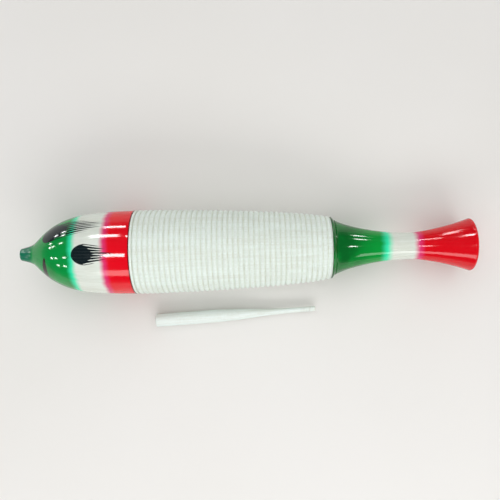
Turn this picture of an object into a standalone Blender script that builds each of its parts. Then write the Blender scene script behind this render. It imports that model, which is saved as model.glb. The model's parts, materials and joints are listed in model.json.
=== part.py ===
"""A turned wooden fish guiro with its loose scraper.

Three turned pieces are glued end to end on spigots: a painted head with a nose
nub, a bare ridged barrel that is bored through, and a painted tail that flares
to a round end. The guiro lies on a table on the ridges under its point of
balance, and a turned stick lies beside it. Metres, +Z up, +X from nose to tail.
"""

import math

import bmesh
import bpy
from mathutils import Matrix, Vector

# Lengths along the axis of the guiro
HEAD_LENGTH = 0.1035
BARREL_LENGTH = 0.172
TAIL_LENGTH = 0.124

# Head: a small nub, a hollow cone behind it and a full dome up to the barrel
NOSE_TIP_RADIUS = 0.0055
NOSE_EDGE = 0.0009
NOSE_LENGTH = 0.0138
NOSE_BASE_RADIUS = 0.0108
HEAD_JOINT_RADIUS = 0.037
HEAD_BORE_RADIUS = 0.021
HEAD_BORE_DEPTH = 0.066
HEAD_BORE_CORNER = 0.006

# Barrel: its crests follow one long curve from the head down to the tail
TAIL_JOINT_RADIUS = 0.0273
RIDGE_COUNT = 38
RIDGE_DEPTH = 0.0012
CREST_SHARES = (0.28, 0.72)
FRONT_LAND = 0.0022
LAND_EDGE = 0.0004
FRONT_SOCKET_RADIUS = 0.0295
REAR_SOCKET_RADIUS = 0.020
SOCKET_STEP = 0.001

# Finger holes in the side that is away from the player's stroke
FINGER_HOLE_RADIUS = 0.011
FINGER_HOLE_SPACING = 0.056
FINGER_HOLES_FROM_FRONT = 0.086
FINGER_HOLE_SIDES = 24

# Tail: a bevelled shoulder, a score line, a long waist and a flared end
SHOULDER_LENGTH = 0.0067
SHOULDER_FOOT_RADIUS = 0.0227
SCORE_WIDTH = 0.0008
SCORE_DEPTH = 0.0006
WAIST_FROM_SHOULDER = 0.070
WAIST_RADIUS = 0.01175
RIM_RADIUS = 0.0231
RIM_EDGE = 0.0023

# Joints: each end piece has a spigot that is glued into the barrel
SPIGOT_LENGTH = 0.012
GLUE_LINE = 0.0003

# Scraper
SCRAPER_LENGTH = 0.150
SCRAPER_GRIP_RADIUS = 0.006
SCRAPER_GRIP_LENGTH = 0.045
SCRAPER_TIP_RADIUS = 0.0023
SCRAPER_TIP_LENGTH = 0.016
SCRAPER_EDGE = 0.001
SCRAPER_SETBACK = 0.113
SCRAPER_ASIDE = 0.0655
SCRAPER_HEADING = math.radians(3.3)

# Faces around each turned piece, even, so that a flat lies on the table
SIDES = 36
SCRAPER_SIDES = 20
SHARP_ANGLE = math.radians(35)

# Leads of the outline curves, as shares of a curve's length and rise
NOSE_LEADS = ((0.47, 0.28), (0.22, 0.50))
DOME_LEADS = ((0.23, 0.78), (0.61, 0.0))
BARREL_LEADS = ((0.09, -0.136), (0.131, 0.729))
WAIST_LEADS = ((0.003, 0.085), (0.533, 0.0))
FLARE_LEADS = ((0.08, 0.0), (0.481, 0.79))
SCRAPER_LEADS = ((0.50, 0.0), (0.45, 0.0))

PLAIN_RED = (0.75, 0.004, 0.012, 1.0)
PLAIN_GREEN = (0.003, 0.25, 0.04, 1.0)
BARE_WOOD = (0.72, 0.78, 0.68, 1.0)
STICK_WOOD = (0.76, 0.86, 0.78, 1.0)


def clear_scene():
    for item in list(bpy.data.objects):
        bpy.data.objects.remove(item, do_unlink=True)


def material(name, colour, roughness):
    made = bpy.data.materials.new(name)
    made.use_nodes = True
    shader = made.node_tree.nodes["Principled BSDF"]
    shader.inputs["Base Color"].default_value = colour
    shader.inputs["Roughness"].default_value = roughness
    shader.inputs["Metallic"].default_value = 0.0
    return made


def curve_point(start, end, leads, t):
    """Point at share t of the curve that leaves start and reaches end by its two leads."""
    run, rise = end[0] - start[0], end[1] - start[1]
    (lead_run, lead_rise), (trail_run, trail_rise) = leads
    first = (start[0] + lead_run * run, start[1] + lead_rise * rise)
    second = (end[0] - trail_run * run, end[1] - trail_rise * rise)
    weights = ((1 - t) ** 3, 3 * (1 - t) ** 2 * t, 3 * (1 - t) * t ** 2, t ** 3)
    places = (start, first, second, end)
    return tuple(sum(w * p[i] for w, p in zip(weights, places)) for i in (0, 1))


def curve(start, end, leads, steps):
    return [curve_point(start, end, leads, i / steps) for i in range(steps + 1)]


def arc(centre, radius, first_angle, last_angle, steps):
    """Part of a circle, with angles in degrees from the axis towards the outside."""
    turn = (last_angle - first_angle) / steps
    angles = [math.radians(first_angle + turn * i) for i in range(steps + 1)]
    return [(centre[0] + radius * math.cos(a), centre[1] + radius * math.sin(a)) for a in angles]


def head_outline():
    """From the middle of the nose over the outside, round the spigot and into the bore."""
    nub = arc((NOSE_EDGE, NOSE_TIP_RADIUS - NOSE_EDGE), NOSE_EDGE, 180, 90, 3)
    nose_base = (NOSE_LENGTH, NOSE_BASE_RADIUS)
    cone = curve(nub[-1], nose_base, NOSE_LEADS, 5)
    dome = curve(nose_base, (HEAD_LENGTH, HEAD_JOINT_RADIUS), DOME_LEADS, 14)
    spigot_radius = FRONT_SOCKET_RADIUS - GLUE_LINE
    spigot_end = HEAD_LENGTH + SPIGOT_LENGTH
    bore_floor = spigot_end - HEAD_BORE_DEPTH
    corner = (bore_floor + HEAD_BORE_CORNER, HEAD_BORE_RADIUS - HEAD_BORE_CORNER)
    outside = [(0.0, 0.0)] + nub + cone[1:] + dome[1:]
    spigot = [(HEAD_LENGTH, spigot_radius), (spigot_end, spigot_radius)]
    bore = [(spigot_end, HEAD_BORE_RADIUS)] + arc(corner, HEAD_BORE_CORNER, 90, 180, 3)
    return outside + spigot + bore + [(bore_floor, 0.0)]


def crest_radius(station):
    """Radius over the ridges at a share of the barrel's length, read off its curve."""
    start, end = (0.0, HEAD_JOINT_RADIUS), (BARREL_LENGTH, TAIL_JOINT_RADIUS)
    low, high = 0.0, 1.0
    for _ in range(40):
        middle = (low + high) / 2
        if curve_point(start, end, BARREL_LEADS, middle)[0] < station:
            low = middle
        else:
            high = middle
    return curve_point(start, end, BARREL_LEADS, low)[1]


def barrel_outline():
    """The front land, the ridges with their narrow valleys, and the bore back to the front."""
    pitch = (BARREL_LENGTH - FRONT_LAND) / RIDGE_COUNT
    land_end = FRONT_LAND - LAND_EDGE
    outside = [(0.0, crest_radius(0.0)), (land_end, crest_radius(land_end))]
    for ridge in range(RIDGE_COUNT):
        valley = FRONT_LAND + ridge * pitch
        outside.append((valley, crest_radius(valley) - RIDGE_DEPTH))
        for share in CREST_SHARES:
            crest = valley + share * pitch
            outside.append((crest, crest_radius(crest)))
    outside.append((BARREL_LENGTH, TAIL_JOINT_RADIUS - RIDGE_DEPTH / 2))
    socket_depth = SPIGOT_LENGTH + GLUE_LINE
    rear_step, front_step = BARREL_LENGTH - socket_depth, socket_depth
    bore = [
        (BARREL_LENGTH, REAR_SOCKET_RADIUS),
        (rear_step, REAR_SOCKET_RADIUS),
        (rear_step, REAR_SOCKET_RADIUS - SOCKET_STEP),
        (front_step, FRONT_SOCKET_RADIUS - SOCKET_STEP),
        (front_step, FRONT_SOCKET_RADIUS),
        (0.0, FRONT_SOCKET_RADIUS),
    ]
    start = HEAD_LENGTH + GLUE_LINE
    return [(start + x, r) for x, r in outside + bore]


def tail_outline():
    """From the middle of the spigot's end, over the shoulder and the waist, to the end face."""
    spigot_radius = REAR_SOCKET_RADIUS - GLUE_LINE
    foot = (SHOULDER_LENGTH, SHOULDER_FOOT_RADIUS)
    score_floor = (SHOULDER_LENGTH + SCORE_WIDTH / 2, SHOULDER_FOOT_RADIUS - SCORE_DEPTH)
    behind_score = (SHOULDER_LENGTH + SCORE_WIDTH, SHOULDER_FOOT_RADIUS)
    waist = (WAIST_FROM_SHOULDER, WAIST_RADIUS)
    rim = (TAIL_LENGTH - RIM_EDGE, RIM_RADIUS)
    outline = [(-SPIGOT_LENGTH, 0.0), (-SPIGOT_LENGTH, spigot_radius), (0.0, spigot_radius)]
    outline += [(0.0, TAIL_JOINT_RADIUS), foot, score_floor]
    outline += curve(behind_score, waist, WAIST_LEADS, 10)
    outline += curve(waist, rim, FLARE_LEADS, 9)[1:]
    outline += arc((rim[0], RIM_RADIUS - RIM_EDGE), RIM_EDGE, 90, 0, 4)[1:]
    outline.append((TAIL_LENGTH, 0.0))
    start = HEAD_LENGTH + BARREL_LENGTH + 2 * GLUE_LINE
    return [(start + x, r) for x, r in outline]


def scraper_outline():
    """A stick with a thick grip that eases down to a thin, rounded tip."""
    butt = arc((SCRAPER_EDGE, SCRAPER_GRIP_RADIUS - SCRAPER_EDGE), SCRAPER_EDGE, 180, 90, 3)
    grip_end = (SCRAPER_GRIP_LENGTH, SCRAPER_GRIP_RADIUS)
    tip_start = (SCRAPER_LENGTH - SCRAPER_TIP_LENGTH, SCRAPER_TIP_RADIUS)
    taper = curve(grip_end, tip_start, SCRAPER_LEADS, 10)
    edge = SCRAPER_TIP_RADIUS / 2
    tip = arc((SCRAPER_LENGTH - edge, SCRAPER_TIP_RADIUS - edge), edge, 90, 0, 2)
    return [(0.0, 0.0)] + butt + taper + tip + [(SCRAPER_LENGTH, 0.0)]


def turned(name, outline, sides, finish, closed=False):
    """Spin an outline of (place along the axis, radius) round X, with a flat facing down."""
    half_side = math.pi / sides
    mesh = bpy.data.meshes.new(name)
    shape = bmesh.new()
    points = [(x, r * math.sin(half_side), r * math.cos(half_side)) for x, r in outline]
    corners = [shape.verts.new(point) for point in points]
    ends = corners[1:] + corners[:1] if closed else corners[1:]
    edges = [shape.edges.new(pair) for pair in zip(corners, ends)]
    bmesh.ops.spin(shape, geom=corners + edges, cent=(0, 0, 0), axis=(1, 0, 0),
                   angle=2 * math.pi, steps=sides, use_merge=True)
    bmesh.ops.remove_doubles(shape, verts=shape.verts, dist=1e-6)
    bmesh.ops.recalc_face_normals(shape, faces=shape.faces)
    shape.to_mesh(mesh)
    shape.free()
    mesh.shade_smooth()
    mesh.set_sharp_from_angle(angle=SHARP_ANGLE)
    mesh.materials.append(finish)
    made = bpy.data.objects.new(name, mesh)
    bpy.context.collection.objects.link(made)
    return made


def finger_hole_cutter(name, station):
    """A round bar from the axis down past the ridges, kept as a guide for the cut."""
    reach = crest_radius(station - HEAD_LENGTH) + 2 * FINGER_HOLE_RADIUS
    bpy.ops.mesh.primitive_cylinder_add(
        vertices=FINGER_HOLE_SIDES, radius=FINGER_HOLE_RADIUS, depth=reach,
        location=(station, 0, -reach / 2))
    cutter = bpy.context.object
    cutter.name = name
    cutter.hide_render = True
    cutter.display_type = "WIRE"
    return cutter


def drill(target, cutter):
    cut = target.modifiers.new(cutter.name, "BOOLEAN")
    cut.operation = "DIFFERENCE"
    cut.solver = "EXACT"
    cut.object = cutter


def balance_station(outlines):
    """Where turned solids of one wood balance, summed cone by cone along their outlines."""
    volume = moment = 0.0
    for outline in outlines:
        for (x1, r1), (x2, r2) in zip(outline, outline[1:] + outline[:1]):
            slice_volume = (x2 - x1) * (r1 * r1 + r1 * r2 + r2 * r2)
            volume += slice_volume
            moment += slice_volume * (x1 + x2) / 2
    return moment / volume


def resting_place(outlines, sides):
    """Tilt and nose height of turned pieces that lie on the table under their balance."""
    flat = math.cos(math.pi / sides)
    points = sorted((x, r * flat) for outline in outlines for x, r in outline)
    hull = []
    for point in points:
        while len(hull) > 1 and rises_to(hull[-2], hull[-1], point):
            hull.pop()
        hull.append(point)
    balance = balance_station(outlines)
    first, last = next((a, b) for a, b in zip(hull, hull[1:]) if b[0] >= balance)
    tilt = math.atan2(first[1] - last[1], last[0] - first[0])
    height = first[0] * math.sin(tilt) + first[1] * math.cos(tilt)
    return tilt, height


def rises_to(before, middle, after):
    """True where the middle point isn't above the straight line past it."""
    left = (middle[0] - before[0]) * (after[1] - before[1])
    right = (middle[1] - before[1]) * (after[0] - before[0])
    return left >= right


def turning_axis(name, tilt, heading, location):
    axis = bpy.data.objects.new(name, None)
    axis.empty_display_size = 0.05
    axis.rotation_euler = (0.0, tilt, heading)
    axis.location = location
    bpy.context.collection.objects.link(axis)
    return axis


def stand_on_origin(roots, pieces):
    """Move everything so that the box round the pieces stands on the origin by its middle."""
    bpy.context.view_layer.update()
    corners = [piece.matrix_world @ v.co for piece in pieces for v in piece.data.vertices]
    lowest = Vector(min(c[i] for c in corners) for i in range(3))
    highest = Vector(max(c[i] for c in corners) for i in range(3))
    middle = (lowest + highest) / 2
    for root in roots:
        root.location -= Vector((middle.x, middle.y, lowest.z))
    bpy.context.view_layer.update()


def build_guiro():
    outlines = [head_outline(), barrel_outline(), tail_outline()]
    tilt, height = resting_place(outlines, SIDES)
    axis = turning_axis("guiro_axis", tilt, 0.0, (0.0, 0.0, height))
    head = turned("head", outlines[0], SIDES, material("red_lacquer", PLAIN_RED, 0.2))
    wood = material("bare_wood", BARE_WOOD, 0.7)
    barrel = turned("ridged_barrel", outlines[1], SIDES, wood, closed=True)
    tail = turned("tail", outlines[2], SIDES, material("green_lacquer", PLAIN_GREEN, 0.2))
    middle = HEAD_LENGTH + GLUE_LINE + FINGER_HOLES_FROM_FRONT
    cutters = []
    for name, side in (("front_finger_hole", -1), ("rear_finger_hole", 1)):
        cutter = finger_hole_cutter(name, middle + side * FINGER_HOLE_SPACING / 2)
        drill(barrel, cutter)
        cutters.append(cutter)
    for item in [head, barrel, tail] + cutters:
        item.parent = axis
    return axis, [head, barrel, tail]


def build_scraper():
    outline = scraper_outline()
    tilt, height = resting_place([outline], SCRAPER_SIDES)
    place = (SCRAPER_SETBACK, -SCRAPER_ASIDE, height)
    axis = turning_axis("scraper_axis", tilt, SCRAPER_HEADING, place)
    stick = turned("scraper", outline, SCRAPER_SIDES, material("stick_wood", STICK_WOOD, 0.6))
    stick.parent = axis
    return axis, [stick]


def main():
    clear_scene()
    guiro_axis, guiro = build_guiro()
    scraper_axis, scraper = build_scraper()
    stand_on_origin([guiro_axis, scraper_axis], guiro + scraper)


main()
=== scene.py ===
"""Looks of a turned wooden fish guiro and its loose scraper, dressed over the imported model."""

import json
import math

import bmesh
import bpy
from mathutils import Matrix, Vector


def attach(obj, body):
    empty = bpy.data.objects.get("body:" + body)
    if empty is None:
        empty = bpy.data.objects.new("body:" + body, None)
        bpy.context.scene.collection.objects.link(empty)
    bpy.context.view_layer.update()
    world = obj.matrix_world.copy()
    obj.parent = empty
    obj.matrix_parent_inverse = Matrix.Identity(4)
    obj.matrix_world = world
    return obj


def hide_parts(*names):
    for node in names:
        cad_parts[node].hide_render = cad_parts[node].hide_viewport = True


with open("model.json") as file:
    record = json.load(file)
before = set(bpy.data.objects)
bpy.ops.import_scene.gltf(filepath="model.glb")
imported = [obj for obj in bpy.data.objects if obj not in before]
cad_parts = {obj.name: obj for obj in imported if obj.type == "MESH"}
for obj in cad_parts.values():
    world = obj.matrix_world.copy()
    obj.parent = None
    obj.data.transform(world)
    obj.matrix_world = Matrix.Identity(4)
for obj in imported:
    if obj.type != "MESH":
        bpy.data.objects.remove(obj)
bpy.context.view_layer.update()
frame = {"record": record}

MM = 0.001

# Lengths along the axis of the guiro
HEAD_LENGTH = 103.5 * MM
BARREL_LENGTH = 172 * MM
TAIL_LENGTH = 124 * MM
GLUE_LINE = 0.3 * MM
BARREL_START = HEAD_LENGTH + GLUE_LINE
TAIL_START = BARREL_START + BARREL_LENGTH + GLUE_LINE
GUIRO_LENGTH = TAIL_START + TAIL_LENGTH

# Turned outlines, as the solids have them but for the tail's shoulder, score and run to the waist
NOSE_TIP_RADIUS = 5.5 * MM
NOSE_EDGE = 0.9 * MM
NOSE_BASE = (13.8 * MM, 10.8 * MM)
HEAD_JOINT_RADIUS = 37 * MM
HEAD_BORE_RADIUS = 21 * MM
HEAD_BORE_DEPTH = 66 * MM
HEAD_BORE_CORNER = 6 * MM
TAIL_JOINT_RADIUS = 27.3 * MM
FRONT_SOCKET_RADIUS = 29.5 * MM
REAR_SOCKET_RADIUS = 20 * MM
SOCKET_STEP = 1 * MM
SPIGOT_LENGTH = 12 * MM
SHOULDER_LENGTH = 3.0 * MM
SHOULDER_FOOT_RADIUS = 24.3 * MM
SCORE_WIDTH = 0.8 * MM
SCORE_DEPTH = 0.4 * MM
SCORE_SLOPE = 0.3 * SCORE_WIDTH
WAIST_STATION = 70 * MM
WAIST_RADIUS = 11.75 * MM
RIM_RADIUS = 23.1 * MM
RIM_EDGE = 2.3 * MM
NOSE_LEADS = ((0.47, 0.28), (0.22, 0.50))
DOME_LEADS = ((0.23, 0.78), (0.61, 0.0))
BARREL_LEADS = ((0.09, -0.136), (0.131, 0.729))
WAIST_LEADS = ((0.03, 0.18), (0.54, 0.0))
FLARE_LEADS = ((0.08, 0.0), (0.481, 0.79))

# Ridges: round beads with narrow valleys, a little deeper than the solid's
RIDGE_COUNT = 38
FRONT_LAND = 2.2 * MM
RIDGE_DEPTH = 1.6 * MM
RIDGE_PITCH = (BARREL_LENGTH - FRONT_LAND) / RIDGE_COUNT
BEAD_FULLNESS = 0.8
BACK_EDGE_DROP = 0.6 * RIDGE_DEPTH
EASED_EDGE = 0.35 * MM

# Finger holes in the underside
FINGER_HOLE_RADIUS = 11 * MM
FINGER_HOLE_FLARE = 1.2 * MM
FINGER_HOLE_LIP = 1 * MM
FINGER_HOLE_THROAT = 3 * MM
CUTTER_REACH = 4 * MM
FINGER_HOLE_SPACING = 56 * MM
FINGER_HOLES_MIDDLE = BARREL_START + 86 * MM
FINGER_HOLES = (FINGER_HOLES_MIDDLE - FINGER_HOLE_SPACING / 2,
                FINGER_HOLES_MIDDLE + FINGER_HOLE_SPACING / 2)

# Scraper, at the height and tilt of its solid, which lies on the table under its balance
SCRAPER_LENGTH = 150 * MM
SCRAPER_GRIP_RADIUS = 6 * MM
SCRAPER_GRIP_LENGTH = 45 * MM
SCRAPER_TIP_RADIUS = 2.3 * MM
SCRAPER_TIP_LENGTH = 16 * MM
SCRAPER_EDGE = 1 * MM
SCRAPER_SETBACK = 113 * MM
SCRAPER_ASIDE = 65.5 * MM
SCRAPER_HEIGHT = 6.303 * MM
SCRAPER_HEADING = math.radians(3.3)
SCRAPER_TILT = math.radians(0.4796)
SCRAPER_LEADS = ((0.50, 0.0), (0.45, 0.0))

# Fineness of the meshes
SIDES = 160
SCRAPER_SIDES = 96
CUTTER_SIDES = 64
BEAD_STEPS = 10
CURVE_STEPS = 56
CONE_STEPS = 30
ARC_STEPS = 6
EDGE_STEPS = 3
RIM_STEPS = 10
SHOULDER_STEPS = 4
MERGE_DISTANCE = 0.001 * MM
SHARP_ANGLE = math.radians(50)

# Where the lacquer changes colour, as stations from the nose
NOSE_TEAL_END = 8 * MM
NOSE_TEAL_FADE = 6 * MM
CONE_GREEN_FADE = (14 * MM, 38 * MM)
HEAD_GREEN_END = 54 * MM
HEAD_RED_START = 82.5 * MM
HEAD_FADE = 9 * MM
# Painted shade: the last millimetre of the head before the joint darkens to deep red, standing in for
# shade in the glue line
JOINT_SHADE_FADE = (HEAD_LENGTH - 1.1 * MM, HEAD_LENGTH - 0.2 * MM)
TAIL_DEEP_GREEN_END = 303 * MM
TAIL_DEEP_GREEN_FADE = 16 * MM
TAIL_GREEN_END = 324.5 * MM
TAIL_GREEN_FADE = 12.5 * MM
TAIL_RED_START = 352.5 * MM
TAIL_RED_FADE = 10 * MM

# Brush dabs on the head: front of the dab along the surface from the nose, roll from the top
# in degrees, length of the longest strand, share of it that is solid, and its own strand pattern
DAB_HALF_WIDTH = 9.2 * MM
DAB_ROUND_FRONT = 12.5 * MM
DAB_STRANDS = 7.0
DAB_NARROWS_FROM = 0.28
DAB_NARROWS_TO = 0.45
DAB_SWAY = 0.4
DAB_OUTER_WET_LOSS = 0.6
DAB_OUTER_LENGTH_LOSS = 0.35
DAB_SHORTEST_STRAND = 0.72
DABS = (
    (63.1 * MM, -1, 42 * MM, 0.42, 3.0),
    (64 * MM, 103, 43 * MM, 0.41, 14.0),
    (63 * MM, -100, 42 * MM, 0.42, 25.0),
    (63 * MM, 181, 43 * MM, 0.42, 36.0),
    (30 * MM, 43, 75 * MM, 0.34, 47.0),
    (30 * MM, 153, 66 * MM, 0.35, 58.0),
)

# Mouth: a crescent round one side, as a roll and a distance along the surface from the nose
MOUTH_ROLL = math.radians(-80)
MOUTH_HALF_TURN = math.radians(78)
MOUTH_MIDDLE = 32.2 * MM
MOUTH_BOW = 2.5 * MM
MOUTH_HALF_WIDTH = 3.4 * MM

# Grain and marks: how fine a pattern is along the axis and across it
FIBRES = (26, 620, 620)
GROWTH_BANDS = (7, 130, 130)
PORES = (150, 2300, 2300)
SPRAY_STREAKS = (16, 170, 170)
SCUFFS = (900, 260, 260)
RUBBED_CLOUDS = 38
ORANGE_PEEL = 330
HEAD_MOTTLE = 55
TAIL_MOTTLE = 70
# Painted shade in the ridge valleys: size of its patches
VALLEY_SHADE_PATCHES = 120
FLOOR_CLOUDS = 3
FLOOR_GRAIN = 600

# Surfaces: roughness where it is clean and where hands rub it, and the depth of its relief
LACQUER_IOR = 1.46
LACQUER_ROUGHNESS = (0.07, 0.17)
PEEL_DEPTH = 0.02 * MM
PEEL_STRENGTH = 0.12
FIBRE_UNDER_LACQUER = 0.12
SPRAY_RAGGED = 0.4
RIDGE_ROUGHNESS = (0.72, 0.5)
RIDGE_GLEAM = 0.3
RIDGE_GRAIN_DEPTH = 0.06 * MM
GRAIN_STRENGTH = 0.7
STICK_ROUGHNESS = (0.6, 0.45)
STICK_GLEAM = 0.35
STICK_GRAIN_DEPTH = 0.05 * MM
TIP_WEAR = (90 * MM, 140 * MM)
FLOOR_ROUGHNESS = 0.85
FLOOR_GLEAM = 0.15
FLOOR_GRAIN_DEPTH = 0.05 * MM
FLOOR_GRAIN_STRENGTH = 0.3

# Camera above the table, as in the photograph
CAMERA_PLACE = (34.18 * MM, 24.58 * MM, 582.25 * MM)
CAMERA_TURN = tuple(math.radians(angle) for angle in (-0.904, 3.097, -1.358))
CAMERA_LENS = 44.36
FLOOR_DROP = 0.2 * MM
FLOOR_SIZE = 8

# Lamps
LAMP_DISTANCE = 1.4
GLINT_RADIANCE = 30.0
BAND_STRIP_RADIANCE = 26.0


def srgb(red, green, blue):
    """Linear colour of a paint that is known by its 8-bit screen values."""
    parts = [channel / 255 for channel in (red, green, blue)]
    return tuple(p / 12.92 if p < 0.04045 else ((p + 0.055) / 1.055) ** 2.4 for p in parts) + (1.0,)


LACQUERED_WOOD = srgb(228, 234, 224)
LACQUERED_WOOD_DARK = srgb(196, 198, 180)
BARE_WOOD = srgb(233, 243, 236)
BARE_WOOD_DARK = srgb(213, 218, 205)
STICK_WOOD = srgb(235, 244, 240)
STICK_WOOD_DARK = srgb(214, 218, 205)
NOSE_TEAL = srgb(6, 112, 80)
CONE_GREEN = srgb(0, 150, 68)
HEAD_GREEN = srgb(0, 148, 64)
HEAD_GREEN_DEEP = srgb(0, 134, 54)
THIN_GREEN = srgb(54, 232, 176)
DEEP_GREEN = srgb(0, 98, 34)
TAIL_GREEN = srgb(0, 150, 54)
THIN_RED = srgb(222, 60, 120)
HEAD_RED = srgb(231, 2, 26)
TAIL_RED = srgb(220, 1, 20)
# Painted shade at the head's joint
JOINT_SHADE_RED = srgb(120, 4, 16)
BRUSH_BLACK = srgb(14, 28, 32)
MOUTH_BROWN = srgb(34, 26, 20)
# Painted shade in the ridge valleys
VALLEY_SHADE_GREY = srgb(205, 202, 180)
HANDLED_GREY = srgb(196, 190, 168)
FLOOR_COLOUR = srgb(228, 226, 221)
FLOOR_PALER = srgb(231, 229, 225)
HORIZON_LIGHT = (0.3, 0.32, 0.32, 1)
OVERHEAD_DIM = (0.1, 0.1, 0.11, 1)


# Outlines of the turned pieces

def curve_point(start, end, leads, t):
    """Point at share t of the curve that leaves start and reaches end by its two leads."""
    run, rise = end[0] - start[0], end[1] - start[1]
    (lead_run, lead_rise), (trail_run, trail_rise) = leads
    first = (start[0] + lead_run * run, start[1] + lead_rise * rise)
    second = (end[0] - trail_run * run, end[1] - trail_rise * rise)
    weights = ((1 - t) ** 3, 3 * (1 - t) ** 2 * t, 3 * (1 - t) * t ** 2, t ** 3)
    places = (start, first, second, end)
    return tuple(sum(w * p[i] for w, p in zip(weights, places)) for i in (0, 1))


def curve(start, end, leads, steps=CURVE_STEPS):
    return [curve_point(start, end, leads, i / steps) for i in range(steps + 1)]


def arc(centre, radius, first_angle, last_angle, steps=ARC_STEPS):
    """Part of a circle, with angles in degrees from the axis towards the outside."""
    turn = (last_angle - first_angle) / steps
    angles = [math.radians(first_angle + turn * i) for i in range(steps + 1)]
    return [(centre[0] + radius * math.cos(a), centre[1] + radius * math.sin(a)) for a in angles]


def head_outline():
    nub = arc((NOSE_EDGE, NOSE_TIP_RADIUS - NOSE_EDGE), NOSE_EDGE, 180, 90)
    cone = curve(nub[-1], NOSE_BASE, NOSE_LEADS, CONE_STEPS)
    dome = curve(NOSE_BASE, (HEAD_LENGTH - EASED_EDGE, HEAD_JOINT_RADIUS), DOME_LEADS)
    edge_centre = (HEAD_LENGTH - EASED_EDGE, HEAD_JOINT_RADIUS - EASED_EDGE)
    back_edge = arc(edge_centre, EASED_EDGE, 90, 0, EDGE_STEPS)
    spigot_radius = FRONT_SOCKET_RADIUS - GLUE_LINE
    spigot_end = HEAD_LENGTH + SPIGOT_LENGTH
    bore_floor = spigot_end - HEAD_BORE_DEPTH
    corner = (bore_floor + HEAD_BORE_CORNER, HEAD_BORE_RADIUS - HEAD_BORE_CORNER)
    outside = [(0.0, 0.0)] + nub + cone[1:] + dome[1:] + back_edge[1:]
    spigot = [(HEAD_LENGTH, spigot_radius), (spigot_end, spigot_radius)]
    bore = [(spigot_end, HEAD_BORE_RADIUS)] + arc(corner, HEAD_BORE_CORNER, 90, 180)
    return outside + spigot + bore + [(bore_floor, 0.0)]


def crest_radius(station):
    """Radius over the ridges at a station of the barrel, read off its curve."""
    start, end = (BARREL_START, HEAD_JOINT_RADIUS), (BARREL_START + BARREL_LENGTH, TAIL_JOINT_RADIUS)
    low, high = 0.0, 1.0
    for _ in range(30):
        middle = (low + high) / 2
        if curve_point(start, end, BARREL_LEADS, middle)[0] < station:
            low = middle
        else:
            high = middle
    return curve_point(start, end, BARREL_LEADS, low)[1]


def bead(start):
    """One ridge from its front valley to just before the next, as one hump of a sine."""
    points = []
    for step in range(BEAD_STEPS):
        share = step / BEAD_STEPS
        station = start + share * RIDGE_PITCH
        height = RIDGE_DEPTH * math.sin(math.pi * share) ** BEAD_FULLNESS
        points.append((station, crest_radius(station) - RIDGE_DEPTH + height))
    return points


def barrel_outline():
    front_centre = (BARREL_START + EASED_EDGE, HEAD_JOINT_RADIUS - EASED_EDGE)
    front = arc(front_centre, EASED_EDGE, 180, 90, EDGE_STEPS)
    land_end = BARREL_START + FRONT_LAND - EASED_EDGE
    land = arc((land_end, crest_radius(land_end) - EASED_EDGE), EASED_EDGE, 90, 10, EDGE_STEPS)
    outside = front + land
    for ridge in range(RIDGE_COUNT):
        outside += bead(BARREL_START + FRONT_LAND + ridge * RIDGE_PITCH)
    end = BARREL_START + BARREL_LENGTH
    outside.append((end, TAIL_JOINT_RADIUS - BACK_EDGE_DROP))
    socket_depth = SPIGOT_LENGTH + GLUE_LINE
    return outside + [
        (end, REAR_SOCKET_RADIUS),
        (end - socket_depth, REAR_SOCKET_RADIUS),
        (end - socket_depth, REAR_SOCKET_RADIUS - SOCKET_STEP),
        (BARREL_START + socket_depth, FRONT_SOCKET_RADIUS - SOCKET_STEP),
        (BARREL_START + socket_depth, FRONT_SOCKET_RADIUS),
        (BARREL_START, FRONT_SOCKET_RADIUS),
    ]


def tail_outline():
    spigot_radius = REAR_SOCKET_RADIUS - GLUE_LINE
    foot = (SHOULDER_LENGTH, SHOULDER_FOOT_RADIUS)
    score_end = SHOULDER_LENGTH + SCORE_WIDTH
    score = [(SHOULDER_LENGTH + SCORE_SLOPE, SHOULDER_FOOT_RADIUS - SCORE_DEPTH),
             (score_end - SCORE_SLOPE, SHOULDER_FOOT_RADIUS - SCORE_DEPTH)]
    waist = (WAIST_STATION, WAIST_RADIUS)
    rim = (TAIL_LENGTH - RIM_EDGE, RIM_RADIUS)
    shoulder = arc((EASED_EDGE, TAIL_JOINT_RADIUS - EASED_EDGE), EASED_EDGE, 180, 55, SHOULDER_STEPS)
    outline = [(-SPIGOT_LENGTH, 0.0), (-SPIGOT_LENGTH, spigot_radius), (0.0, spigot_radius)]
    outline += shoulder + [foot] + score
    outline += curve((score_end, SHOULDER_FOOT_RADIUS), waist, WAIST_LEADS)
    outline += curve(waist, rim, FLARE_LEADS)[1:]
    outline += arc((rim[0], RIM_RADIUS - RIM_EDGE), RIM_EDGE, 90, 0, RIM_STEPS)[1:]
    outline.append((TAIL_LENGTH, 0.0))
    return [(TAIL_START + x, r) for x, r in outline]


def scraper_outline():
    butt = arc((SCRAPER_EDGE, SCRAPER_GRIP_RADIUS - SCRAPER_EDGE), SCRAPER_EDGE, 180, 90)
    taper = curve((SCRAPER_GRIP_LENGTH, SCRAPER_GRIP_RADIUS),
                  (SCRAPER_LENGTH - SCRAPER_TIP_LENGTH, SCRAPER_TIP_RADIUS), SCRAPER_LEADS)
    edge = SCRAPER_TIP_RADIUS / 2
    tip = arc((SCRAPER_LENGTH - edge, SCRAPER_TIP_RADIUS - edge), edge, 90, 0)
    return [(0.0, 0.0)] + butt + taper + tip + [(SCRAPER_LENGTH, 0.0)]


# Meshes

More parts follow.
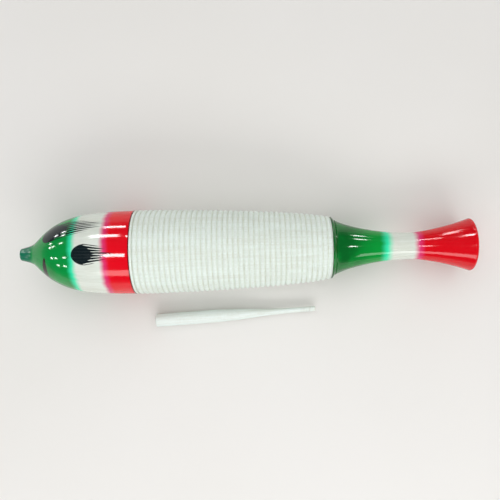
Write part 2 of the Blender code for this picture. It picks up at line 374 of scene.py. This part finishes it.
def turned(name, outline, place, closed=False, sides=SIDES):
    """Spin an outline of (station, radius) round the axis that place gives.

    Each point also notes how far along the outline it lies from the rim of the first face."""
    shape = bmesh.new()
    along = shape.verts.layers.float.new("along")
    corners = []
    travelled = outline[0][1] - outline[1][1]
    for index, (x, r) in enumerate(outline):
        corner = shape.verts.new((x, 0.0, r))
        if index:
            travelled += math.dist(outline[index - 1], outline[index])
        corner[along] = travelled
        corners.append(corner)
    ends = corners[1:] + corners[:1] if closed else corners[1:]
    edges = [shape.edges.new(pair) for pair in zip(corners, ends)]
    bmesh.ops.spin(shape, geom=corners + edges, cent=(0, 0, 0), axis=(1, 0, 0),
                   angle=2 * math.pi, steps=sides, use_merge=True)
    bmesh.ops.remove_doubles(shape, verts=shape.verts, dist=MERGE_DISTANCE)
    bmesh.ops.recalc_face_normals(shape, faces=shape.faces)
    mesh = bpy.data.meshes.new(name)
    shape.to_mesh(mesh)
    shape.free()
    mesh.transform(place)
    mesh.shade_smooth()
    mesh.set_sharp_from_angle(angle=SHARP_ANGLE)
    piece = bpy.data.objects.new(name, mesh)
    bpy.context.collection.objects.link(piece)
    return piece


def finger_hole_cutter(station, place):
    """A bar that runs from the axis out through the underside and flares at the surface."""
    surface = crest_radius(station)
    throat, reach = surface - FINGER_HOLE_THROAT, surface + CUTTER_REACH
    flare = FINGER_HOLE_RADIUS + FINGER_HOLE_FLARE
    outline = [(0.0, 0.0), (0.0, FINGER_HOLE_RADIUS), (throat, FINGER_HOLE_RADIUS),
               (surface - FINGER_HOLE_LIP, FINGER_HOLE_RADIUS + 0.3 * FINGER_HOLE_FLARE),
               (surface, flare), (reach, flare + 2 * FINGER_HOLE_FLARE), (reach, 0.0)]
    downwards = Matrix.Translation((station, 0, 0)) @ Matrix.Rotation(math.radians(90), 4, "Y")
    return turned("finger_hole_cutter", outline, place @ downwards, sides=CUTTER_SIDES)


def cut_away(piece, cutters):
    """Cut the holes for good, so that nothing but the finished mesh is left."""
    for cutter in cutters:
        hole = piece.modifiers.new(cutter.name, "BOOLEAN")
        hole.operation = "DIFFERENCE"
        hole.solver = "EXACT"
        hole.object = cutter
    bpy.context.view_layer.update()
    ready = piece.evaluated_get(bpy.context.evaluated_depsgraph_get())
    finished = bpy.data.meshes.new_from_object(ready)
    piece.modifiers.clear()
    piece.data = finished
    for cutter in cutters:
        bpy.data.objects.remove(cutter, do_unlink=True)


# Node tools

class Wiring:
    """Adds nodes to one tree and joins them up as they are made."""

    def __init__(self, tree):
        self.tree = tree

    def feed(self, socket, value):
        if isinstance(value, bpy.types.NodeSocket):
            self.tree.links.new(value, socket)
        else:
            socket.default_value = value

    def add(self, kind, values=None, **settings):
        node = self.tree.nodes.new(kind)
        for name, value in settings.items():
            setattr(node, name, value)
        for socket, value in (values or {}).items():
            self.feed(node.inputs[socket], value)
        return node

    def math(self, operation, first, second=0.0, third=0.0):
        values = {0: first, 1: second, 2: third}
        return self.add("ShaderNodeMath", values, operation=operation).outputs[0]

    def spread(self, value, low, high, start=0.0, finish=1.0, ease="SMOOTHSTEP"):
        """Eased share of the way from low to high, as a number from start to finish."""
        values = {"Value": value, "From Min": low, "From Max": high, "To Min": start, "To Max": finish}
        return self.add("ShaderNodeMapRange", values, interpolation_type=ease).outputs[0]

    def mix(self, share, first, second):
        values = {0: share, 6: first, 7: second}
        return self.add("ShaderNodeMix", values, data_type="RGBA").outputs[2]

    def stretched(self, vector, scales):
        return self.add("ShaderNodeVectorMath", {0: vector, 1: scales}, operation="MULTIPLY").outputs[0]

    def noise(self, vector, detail=2.0, roughness=0.5, scale=1.0):
        values = {"Vector": vector, "Scale": scale, "Detail": detail, "Roughness": roughness}
        return self.add("ShaderNodeTexNoise", values).outputs[0]

    def effect(self, group, values):
        return self.add("ShaderNodeGroup", values, node_tree=group).outputs


def effect_group(name, inputs, outputs):
    """A new node group with its sockets; gives the group, its wiring and its input sockets."""
    group = bpy.data.node_groups.new(name, "ShaderNodeTree")
    for socket_name, kind, value in inputs:
        socket = group.interface.new_socket(socket_name, in_out="INPUT", socket_type=kind)
        if value is not None:
            socket.default_value = value
    for socket_name, kind in outputs:
        group.interface.new_socket(socket_name, in_out="OUTPUT", socket_type=kind)
    wiring = Wiring(group)
    entry = wiring.add("NodeGroupInput")
    return group, wiring, entry.outputs


FLOAT, COLOUR, VECTOR = "NodeSocketFloat", "NodeSocketColor", "NodeSocketVector"


def turned_place_group():
    """Station along the axis, roll round it from the top, and radius, of a turned surface."""
    group, wiring, entry = effect_group(
        "turned_place", [("Vector", VECTOR, None)],
        [("Station", FLOAT), ("Roll", FLOAT), ("Radius", FLOAT)])
    parts = wiring.add("ShaderNodeSeparateXYZ", {0: entry["Vector"]}).outputs
    across = wiring.math("MULTIPLY", parts["Y"], parts["Y"])
    square = wiring.math("MULTIPLY_ADD", parts["Z"], parts["Z"], across)
    wiring.add("NodeGroupOutput", {
        "Station": parts["X"],
        "Roll": wiring.math("ARCTAN2", parts["Y"], parts["Z"]),
        "Radius": wiring.math("SQRT", square),
    })
    return group


def wood_fibre_group():
    """Long fibres, broad growth bands and short pores along X."""
    group, wiring, entry = effect_group(
        "wood_fibre",
        [("Vector", VECTOR, None), ("Light", COLOUR, None), ("Dark", COLOUR, None),
         ("Contrast", FLOAT, 1.0), ("Pores", FLOAT, 0.3)],
        [("Colour", COLOUR), ("Height", FLOAT)])
    vector = entry["Vector"]
    fine = wiring.noise(wiring.stretched(vector, FIBRES), detail=4, roughness=0.6)
    broad = wiring.noise(wiring.stretched(vector, GROWTH_BANDS), detail=2)
    pores = wiring.noise(wiring.stretched(vector, PORES), detail=1)
    pores = wiring.spread(pores, 0.58, 0.72)
    fibre = wiring.math("MULTIPLY_ADD", fine, 0.6, wiring.math("MULTIPLY", broad, 0.4))
    fibre = wiring.spread(fibre, 0.34, 0.62)
    shade = wiring.math("MULTIPLY", wiring.math("SUBTRACT", 1.0, fibre), entry["Contrast"])
    shade = wiring.math("MULTIPLY_ADD", pores, entry["Pores"], shade)
    shade = wiring.math("MINIMUM", shade, 1.0)
    height = wiring.math("MULTIPLY_ADD", pores, -0.7, fibre)
    wiring.add("NodeGroupOutput", {
        "Colour": wiring.mix(shade, entry["Light"], entry["Dark"]),
        "Height": height,
    })
    return group


def sprayed_band_group():
    """A coat of colour that starts at Edge and thickens over Fade, ragged along the fibres.

    Thin lacquer shows Thin over what is under it, and thick lacquer shows Full. A Fade below
    zero makes the coat thicken towards the nose."""
    group, wiring, entry = effect_group(
        "sprayed_band",
        [("Station", FLOAT, 0.0), ("Edge", FLOAT, 0.0), ("Fade", FLOAT, 0.01),
         ("Fibre", FLOAT, 0.5), ("Ragged", FLOAT, 0.15),
         ("Under", COLOUR, None), ("Thin", COLOUR, None), ("Full", COLOUR, None)],
        [("Colour", COLOUR)])
    past = wiring.math("SUBTRACT", entry["Station"], entry["Edge"])
    past = wiring.math("DIVIDE", past, entry["Fade"])
    rag = wiring.math("MULTIPLY", wiring.math("SUBTRACT", entry["Fibre"], 0.5), entry["Ragged"])
    cover = wiring.math("ADD", past, rag)
    thin_share = wiring.spread(cover, -0.55, 0.05)
    full_share = wiring.spread(cover, -0.1, 0.55)
    tinted = wiring.mix(thin_share, entry["Under"], entry["Thin"])
    wiring.add("NodeGroupOutput", {"Colour": wiring.mix(full_share, tinted, entry["Full"])})
    return group


def brush_dab_group():
    """A dab of a loaded brush: a round wet front that parts into strands, which run dry.

    Lengths behind the front count in shares of Length. The strands draw together as they go."""
    group, wiring, entry = effect_group(
        "brush_dab",
        [("Along", FLOAT, 0.0), ("Roll", FLOAT, 0.0), ("Radius", FLOAT, 0.03),
         ("Front", FLOAT, 0.0), ("Centre Roll", FLOAT, 0.0), ("Half Width", FLOAT, 0.009),
         ("Round", FLOAT, 0.012), ("Length", FLOAT, 0.04), ("Wet", FLOAT, 0.45),
         ("Strands", FLOAT, 8.0), ("Seed", FLOAT, 0.0)],
        [("Mask", FLOAT)])
    gone = wiring.math("SUBTRACT", entry["Along"], entry["Front"])
    turn = wiring.math("SUBTRACT", entry["Roll"], entry["Centre Roll"])
    turn = wiring.math("WRAP", turn, math.pi, -math.pi)
    aside = wiring.math("MULTIPLY", turn, entry["Radius"])
    aside = wiring.math("DIVIDE", aside, entry["Half Width"])
    run = wiring.math("DIVIDE", gone, entry["Length"])
    narrowing = wiring.spread(run, DAB_NARROWS_FROM, 1.0, 1.0, DAB_NARROWS_TO, ease="LINEAR")
    lane = wiring.math("DIVIDE", aside, narrowing)
    round_share = wiring.math("DIVIDE", gone, entry["Round"])
    round_share = wiring.spread(round_share, 0.0, 1.0, ease="LINEAR")
    bulge = wiring.math("MULTIPLY", round_share, wiring.math("SUBTRACT", 2.0, round_share))
    past_edge = wiring.math("SUBTRACT", wiring.math("ABSOLUTE", lane), wiring.math("SQRT", bulge))
    inside = wiring.spread(past_edge, -0.05, 0.03, 1.0, 0.0)
    sway_place = wiring.add("ShaderNodeCombineXYZ", {
        "X": wiring.math("MULTIPLY", lane, 2.0),
        "Y": wiring.math("MULTIPLY", run, 5.0),
        "Z": entry["Seed"],
    }).outputs[0]
    sway = wiring.math("SUBTRACT", wiring.noise(sway_place), 0.5)
    sway = wiring.math("MULTIPLY", sway, DAB_SWAY)
    each_side = wiring.math("MULTIPLY", entry["Strands"], 0.5)
    strand = wiring.math("MULTIPLY_ADD", lane, each_side, entry["Seed"])
    strand = wiring.math("ADD", strand, sway)
    number = wiring.math("FLOOR", strand)
    from_middle = wiring.math("SUBTRACT", wiring.math("FRACT", strand), 0.5)
    from_middle = wiring.math("ABSOLUTE", from_middle)
    body = wiring.math("MULTIPLY_ADD", from_middle, -2.0, 1.0)
    chance = wiring.add("ShaderNodeTexWhiteNoise", {"W": number}, noise_dimensions="1D").outputs[0]
    square = wiring.math("MULTIPLY", lane, lane)
    wet_until = wiring.math("MULTIPLY_ADD", square, -DAB_OUTER_WET_LOSS, 1.0)
    wet_until = wiring.math("MULTIPLY", wet_until, entry["Wet"])
    strand_length = wiring.spread(chance, 0.0, 1.0, DAB_SHORTEST_STRAND, 1.0, ease="LINEAR")
    dry_by = wiring.math("MULTIPLY_ADD", square, -DAB_OUTER_LENGTH_LOSS, 1.0)
    dry_by = wiring.math("MULTIPLY", dry_by, strand_length)
    dryness = wiring.math("DIVIDE", wiring.math("SUBTRACT", run, wet_until),
                          wiring.math("SUBTRACT", dry_by, wet_until))
    parting = wiring.spread(dryness, 0.0, 0.14, -0.05, 0.3)
    thinning = wiring.math("POWER", wiring.math("MAXIMUM", dryness, 0.0), 3.0)
    thinning = wiring.math("MULTIPLY", thinning, 0.7)
    threshold = wiring.math("ADD", parting, thinning)
    painted = wiring.spread(wiring.math("SUBTRACT", body, threshold), -0.1, 0.1)
    faint = wiring.spread(dryness, 0.7, 1.0, 1.0, 0.5)
    behind_front = wiring.spread(gone, 0.0, 0.1 * MM)
    mask = wiring.math("MULTIPLY", wiring.math("MULTIPLY", painted, inside), behind_front)
    wiring.add("NodeGroupOutput", {"Mask": wiring.math("MULTIPLY", mask, faint)})
    return group


def handling_marks_group():
    """Cloudy rubbing and fine scuffs that hands leave, as a mask from 0 to 1."""
    group, wiring, entry = effect_group(
        "handling_marks", [("Vector", VECTOR, None), ("Seed", FLOAT, 0.0)], [("Mask", FLOAT)])
    moved = wiring.add("ShaderNodeVectorMath", {0: entry["Vector"], 1: entry["Seed"]}, operation="ADD")
    cloud = wiring.noise(moved.outputs[0], detail=3, scale=RUBBED_CLOUDS)
    scuffs = wiring.noise(wiring.stretched(moved.outputs[0], SCUFFS), detail=2)
    cloud = wiring.spread(cloud, 0.42, 0.66)
    scuffs = wiring.spread(scuffs, 0.35, 0.7)
    mask = wiring.math("MULTIPLY", cloud, scuffs)
    wiring.add("NodeGroupOutput", {"Mask": mask})
    return group


TURNED_PLACE = turned_place_group()
WOOD_FIBRE = wood_fibre_group()
SPRAYED_BAND = sprayed_band_group()
BRUSH_DAB = brush_dab_group()
HANDLING_MARKS = handling_marks_group()


# Materials

class Finish(Wiring):
    """A material in the making: its wiring, its shader and its place on the turned surface.

    Its vector is measured from the start of that axis: the nose, or the butt of the stick."""

    def __init__(self, name, axis):
        self.material = bpy.data.materials.new(name)
        self.material.use_nodes = True
        super().__init__(self.material.node_tree)
        self.shader = self.tree.nodes["Principled BSDF"]
        point = self.add("ShaderNodeTexCoord").outputs["Object"]
        values = {"Vector": point, "Location": axis.translation, "Rotation": axis.to_euler()}
        self.vector = self.add("ShaderNodeMapping", values, vector_type="TEXTURE").outputs[0]
        place = self.effect(TURNED_PLACE, {"Vector": self.vector})
        self.station, self.roll, self.radius = place["Station"], place["Roll"], place["Radius"]

    def wood(self, light, dark, contrast, pores):
        values = {"Vector": self.vector, "Light": light, "Dark": dark,
                  "Contrast": contrast, "Pores": pores}
        return self.effect(WOOD_FIBRE, values)

    def band(self, under, fibre, edge, fade, thin, full):
        values = {"Station": self.station, "Edge": edge, "Fade": fade, "Fibre": fibre,
                  "Ragged": SPRAY_RAGGED, "Under": under, "Thin": thin, "Full": full}
        return self.effect(SPRAYED_BAND, values)["Colour"]

    def spray_edge(self):
        """Broad soft streaks along the fibres, which make the edge of a sprayed coat uneven."""
        return self.noise(self.stretched(self.vector, SPRAY_STREAKS), detail=2)

    def marks(self, seed):
        return self.effect(HANDLING_MARKS, {"Vector": self.vector, "Seed": seed})["Mask"]

    def surface(self, colour, roughness, height, depth, strength):
        bump = self.add("ShaderNodeBump", {"Height": height, "Distance": depth, "Strength": strength})
        self.feed(self.shader.inputs["Base Color"], colour)
        self.feed(self.shader.inputs["Roughness"], roughness)
        self.feed(self.shader.inputs["Normal"], bump.outputs[0])
        return self.material


def lacquer_surface(finish, colour, fibre_height, seed):
    """Clear gloss over paint: a slight orange peel, and duller where hands rub it."""
    peel = finish.noise(finish.vector, detail=1, scale=ORANGE_PEEL)
    height = finish.math("MULTIPLY_ADD", fibre_height, FIBRE_UNDER_LACQUER, peel)
    roughness = finish.spread(finish.marks(seed), 0.0, 1.0, *LACQUER_ROUGHNESS, ease="LINEAR")
    finish.shader.inputs["IOR"].default_value = LACQUER_IOR
    return finish.surface(colour, roughness, height, PEEL_DEPTH, PEEL_STRENGTH)


def head_finish(axis):
    finish = Finish("painted_head", axis)
    wood = finish.wood(LACQUERED_WOOD, LACQUERED_WOOD_DARK, contrast=0.35, pores=0.12)
    ragged = finish.spray_edge()
    colour = finish.band(wood["Colour"], ragged, HEAD_RED_START, HEAD_FADE, THIN_RED, HEAD_RED)
    # Painted shade: the red darkens towards the joint, where shade falls into the glue line
    joint_shade = finish.spread(finish.station, *JOINT_SHADE_FADE)
    colour = finish.mix(joint_shade, colour, JOINT_SHADE_RED)
    mottle = finish.noise(finish.vector, detail=3, scale=HEAD_MOTTLE)
    green = finish.mix(finish.spread(mottle, 0.4, 0.62), HEAD_GREEN, HEAD_GREEN_DEEP)
    towards_nose = finish.spread(finish.station, *CONE_GREEN_FADE, 1.0, 0.0)
    green = finish.mix(towards_nose, green, CONE_GREEN)
    colour = finish.band(colour, ragged, HEAD_GREEN_END, -HEAD_FADE, THIN_GREEN, green)
    teal_gone = NOSE_TEAL_END + NOSE_TEAL_FADE
    teal = finish.spread(finish.station, NOSE_TEAL_END, teal_gone, 1.0, 0.0)
    colour = finish.mix(teal, colour, NOSE_TEAL)
    along = finish.add("ShaderNodeAttribute", attribute_name="along").outputs["Fac"]
    for front, roll, length, wet, seed in DABS:
        mask = finish.effect(BRUSH_DAB, {
            "Along": along, "Roll": finish.roll, "Radius": finish.radius, "Front": front,
            "Centre Roll": math.radians(roll), "Length": length, "Wet": wet, "Seed": seed,
            "Half Width": DAB_HALF_WIDTH, "Round": DAB_ROUND_FRONT, "Strands": DAB_STRANDS})["Mask"]
        colour = finish.mix(mask, colour, BRUSH_BLACK)
    colour = finish.mix(mouth_mask(finish, along), colour, MOUTH_BROWN)
    return lacquer_surface(finish, colour, wood["Height"], seed=0.1)


def mouth_mask(finish, along):
    """A crescent round one side of the nose, thick in the middle and dry at its two ends."""
    turn = finish.math("SUBTRACT", finish.roll, MOUTH_ROLL)
    turn = finish.math("WRAP", turn, math.pi, -math.pi)
    share = finish.math("DIVIDE", turn, MOUTH_HALF_TURN)
    square = finish.math("MULTIPLY", share, share)
    bow = finish.math("MULTIPLY_ADD", square, MOUTH_BOW, MOUTH_MIDDLE)
    aside = finish.math("SUBTRACT", along, bow)
    swell = finish.math("SQRT", finish.math("SUBTRACT", 1.0, square))
    half = finish.math("MULTIPLY", swell, MOUTH_HALF_WIDTH)
    half = finish.math("MAXIMUM", half, 0.01 * MM)
    lane = finish.math("ABSOLUTE", finish.math("DIVIDE", aside, half))
    inside = finish.spread(lane, 0.9, 1.05, 1.0, 0.0)
    within = finish.spread(square, 0.97, 1.0, 1.0, 0.0)
    place = finish.add("ShaderNodeCombineXYZ", {
        "X": finish.math("MULTIPLY", aside, 900.0),
        "Y": finish.math("MULTIPLY", turn, 1.6),
        "Z": 4.0,
    }).outputs[0]
    hair = finish.spread(finish.noise(place, detail=1), 0.32, 0.68, ease="LINEAR")
    dryness = finish.spread(square, 0.45, 1.0, -0.2, 0.75, ease="LINEAR")
    painted = finish.spread(finish.math("SUBTRACT", hair, dryness), 0.0, 0.12)
    return finish.math("MULTIPLY", finish.math("MULTIPLY", painted, inside), within)


def tail_finish(axis):
    finish = Finish("painted_tail", axis)
    wood = finish.wood(LACQUERED_WOOD, LACQUERED_WOOD_DARK, contrast=0.45, pores=0.15)
    ragged = finish.spray_edge()
    colour = finish.band(wood["Colour"], ragged, TAIL_RED_START, TAIL_RED_FADE, THIN_RED, TAIL_RED)
    mottle = finish.noise(finish.vector, detail=3, scale=TAIL_MOTTLE)
    deep_until = TAIL_DEEP_GREEN_END - TAIL_DEEP_GREEN_FADE
    deep_gone = TAIL_DEEP_GREEN_END + TAIL_DEEP_GREEN_FADE
    deep = finish.spread(finish.station, deep_until, deep_gone, 1.0, 0.0)
    deep = finish.math("MULTIPLY", deep, finish.spread(mottle, 0.3, 0.6, 0.55, 1.0))
    green = finish.mix(deep, TAIL_GREEN, DEEP_GREEN)
    colour = finish.band(colour, ragged, TAIL_GREEN_END, -TAIL_GREEN_FADE, THIN_GREEN, green)
    return lacquer_surface(finish, colour, wood["Height"], seed=0.7)


def barrel_finish(axis):
    finish = Finish("bare_ridges", axis)
    wood = finish.wood(BARE_WOOD, BARE_WOOD_DARK, contrast=0.5, pores=0.35)
    from_first = finish.math("SUBTRACT", finish.station, BARREL_START + FRONT_LAND)
    phase = finish.math("FRACT", finish.math("DIVIDE", from_first, RIDGE_PITCH))
    from_crest = finish.math("ABSOLUTE", finish.math("SUBTRACT", phase, 0.5))
    # Painted shade: the valleys between the ridges turn grey in patches, standing in for shade that
    # falls into them
    valley = finish.spread(from_crest, 0.3, 0.5)
    valley_shade = finish.spread(finish.noise(finish.vector, scale=VALLEY_SHADE_PATCHES), 0.3, 0.7, 0.2, 0.5)
    valley_shade = finish.math("MULTIPLY", valley, valley_shade)
    colour = finish.mix(valley_shade, wood["Colour"], VALLEY_SHADE_GREY)
    crest = finish.spread(from_crest, 0.1, 0.3, 1.0, 0.0)
    rubbed = finish.math("MULTIPLY", finish.marks(seed=1.3), crest)
    roughness = finish.spread(rubbed, 0.0, 1.0, *RIDGE_ROUGHNESS, ease="LINEAR")
    finish.shader.inputs["Specular IOR Level"].default_value = RIDGE_GLEAM
    return finish.surface(colour, roughness, wood["Height"], RIDGE_GRAIN_DEPTH, GRAIN_STRENGTH)


def scraper_finish(axis):
    finish = Finish("bare_stick", axis)
    wood = finish.wood(STICK_WOOD, STICK_WOOD_DARK, contrast=0.5, pores=0.3)
    marks = finish.marks(seed=2.9)
    tip = finish.spread(finish.station, *TIP_WEAR, 0.1, 0.5)
    colour = finish.mix(finish.math("MULTIPLY", marks, tip), wood["Colour"], HANDLED_GREY)
    roughness = finish.spread(marks, 0.0, 1.0, *STICK_ROUGHNESS, ease="LINEAR")
    finish.shader.inputs["Specular IOR Level"].default_value = STICK_GLEAM
    return finish.surface(colour, roughness, wood["Height"], STICK_GRAIN_DEPTH, GRAIN_STRENGTH)


def floor_finish():
    finish = Finish("studio_floor", Matrix())
    cloud = finish.noise(finish.vector, detail=3, scale=FLOOR_CLOUDS)
    colour = finish.mix(finish.spread(cloud, 0.3, 0.7), FLOOR_COLOUR, FLOOR_PALER)
    grain = finish.noise(finish.vector, detail=2, scale=FLOOR_GRAIN)
    finish.shader.inputs["Specular IOR Level"].default_value = FLOOR_GLEAM
    return finish.surface(colour, FLOOR_ROUGHNESS, grain, FLOOR_GRAIN_DEPTH, FLOOR_GRAIN_STRENGTH)


# Pieces

def guiro_place():
    """The turning axis in the world: its far end and direction are the tail's flat end face."""
    end_face = next(m for m in frame["record"]["mounts"] if m["name"] == "tail_end")
    forward = Vector(end_face["axis"]).normalized()
    nose = Vector(end_face["pos_m"]) - GUIRO_LENGTH * forward
    side = Vector((0, 1, 0))
    rotation = Matrix((forward, side, forward.cross(side))).transposed()
    return Matrix.Translation(nose) @ rotation.to_4x4()


def dress(piece, finish, body, node):
    piece.data.materials.clear()
    piece.data.materials.append(finish)
    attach(piece, body)
    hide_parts(node)


def build_guiro(place):
    head = turned("painted_head", head_outline(), place)
    dress(head, head_finish(place), "guiro", "head")
    barrel = turned("ridged_barrel_wood", barrel_outline(), place, closed=True)
    cut_away(barrel, [finger_hole_cutter(station, place) for station in FINGER_HOLES])
    dress(barrel, barrel_finish(place), "guiro", "ridged_barrel")
    tail = turned("painted_tail", tail_outline(), place)
    dress(tail, tail_finish(place), "guiro", "tail")


def build_scraper(nose):
    butt = Vector((nose.x + SCRAPER_SETBACK, nose.y - SCRAPER_ASIDE, SCRAPER_HEIGHT))
    turn = Matrix.Rotation(SCRAPER_HEADING, 4, "Z") @ Matrix.Rotation(SCRAPER_TILT, 4, "Y")
    place = Matrix.Translation(butt) @ turn
    stick = turned("scraper_stick", scraper_outline(), place, sides=SCRAPER_SIDES)
    dress(stick, scraper_finish(place), "scraper", "scraper")


# Studio

def soft_daylight(name, direction, strength, spread):
    """Soft light from one side of the room, the same all over, that shows in no gloss."""
    data = bpy.data.lights.new(name, "SUN")
    data.energy = strength
    data.angle = math.radians(spread)
    item = bpy.data.objects.new(name, data)
    item.rotation_euler = Vector(direction).to_track_quat("Z", "Y").to_euler()
    item.visible_glossy = False
    bpy.context.collection.objects.link(item)


def lamp(name, glint, direction, distance, width, height, radiance, gloss_only=True):
    """A rectangle of light that a glint at one place of the object looks back at.

    Its width is level with X, and its radiance is set whatever its size."""
    away = Vector(direction).normalized()
    level = (Vector((1, 0, 0)) - away * away.x).normalized()
    data = bpy.data.lights.new(name, "AREA")
    data.shape = "RECTANGLE"
    data.size = width
    data.size_y = height
    data.energy = radiance * math.pi * width * height
    item = bpy.data.objects.new(name, data)
    turn = Matrix((level, away.cross(level), away)).transposed().to_4x4()
    item.matrix_world = Matrix.Translation(Vector(glint) + away * distance) @ turn
    item.visible_diffuse = not gloss_only
    bpy.context.collection.objects.link(item)


def build_lamps():
    middle = (0, 0, 0.05)
    on_dome = (-0.155, 0.017, 0.065)
    on_red_band = (-0.105, 0.017, 0.072)
    on_tail = (0.09, 0.017, 0.045)
    on_flare = (0.16, 0.017, 0.045)
    on_rim = (0.195, 0.017, 0.05)
    soft_daylight("overhead_light", (0.1, 0.0, 1), 1.75, 100)
    soft_daylight("far_side_light", (0.0, 0.75, 0.65), 0.75, 80)
    lamp("window", middle, (0.12, -0.82, 0.55), 1.3, 1.6, 0.4, 4.2, gloss_only=False)
    far, bright = LAMP_DISTANCE, BAND_STRIP_RADIANCE
    lamp("low_strip", on_red_band, (-0.245, 0.94, 0.24), far, 0.18, 0.14, bright)
    lamp("high_strip", on_red_band, (-0.31, 0.71, 0.63), far, 0.26, 0.19, bright)
    lamp("top_strip", on_red_band, (-0.23, -0.11, 0.965), far, 0.24, 0.2, bright)
    lamp("tail_high_strip", on_flare, (0.03, 0.73, 0.68), far, 0.3, 0.1, 22.0)
    lamp("tail_low_strip", on_flare, (-0.08, 0.95, 0.28), far, 0.08, 0.4, 14.0)
    lamp("tail_top_strip", on_flare, (0.01, -0.08, 1.0), far, 0.16, 0.12, 16.0)
    lamp("rim_lamp", on_rim, (-0.26, 0.68, 0.69), far, 0.14, 0.14, GLINT_RADIANCE)
    dome_glints = (
        (-0.78, 0.63, 0.03), (-0.69, 0.69, 0.22), (-0.66, 0.75, 0.05), (-0.91, 0.38, 0.16),
        (-0.94, 0.25, 0.24), (-0.89, 0.30, 0.35), (-0.76, 0.45, 0.48), (-0.92, -0.16, 0.35),
        (-0.86, -0.17, 0.48), (-0.71, -0.16, 0.68), (-0.80, -0.46, 0.39), (-0.69, -0.51, 0.51),
    )
    for index, direction in enumerate(dome_glints):
        lamp(f"dome_lamp_{index}", on_dome, direction, far, 0.11, 0.08, GLINT_RADIANCE)
    tail_glints = ((0.68, 0.06, 0.73), (0.58, 0.64, 0.51), (0.54, 0.82, 0.22))
    for index, direction in enumerate(tail_glints):
        lamp(f"tail_lamp_{index}", on_tail, direction, far, 0.12, 0.1, GLINT_RADIANCE)


def build_world():
    """A room that is lighter round the horizon and dim overhead, between the lamps."""
    world = bpy.data.worlds.new("studio")
    bpy.context.scene.world = world
    world.use_nodes = True
    wiring = Wiring(world.node_tree)
    background = world.node_tree.nodes["Background"]
    direction = wiring.add("ShaderNodeTexCoord").outputs["Generated"]
    up = wiring.add("ShaderNodeSeparateXYZ", {0: direction}).outputs["Z"]
    share = wiring.spread(up, 0.0, 0.25)
    wiring.feed(background.inputs["Color"], wiring.mix(share, HORIZON_LIGHT, OVERHEAD_DIM))


def build_floor():
    bpy.ops.mesh.primitive_plane_add(size=FLOOR_SIZE, location=(0, 0, -FLOOR_DROP))
    floor = bpy.context.object
    floor.name = "studio_floor"
    floor.data.materials.append(floor_finish())


def build_camera():
    data = bpy.data.cameras.new("above_the_table")
    data.lens = CAMERA_LENS
    camera = bpy.data.objects.new("above_the_table", data)
    camera.location = CAMERA_PLACE
    camera.rotation_euler = CAMERA_TURN
    bpy.context.collection.objects.link(camera)
    bpy.context.scene.camera = camera


build_camera()
build_floor()
build_world()
build_lamps()
turning_axis = guiro_place()
build_guiro(turning_axis)
build_scraper(turning_axis.translation)
bpy.context.scene.view_settings.view_transform = "Standard"
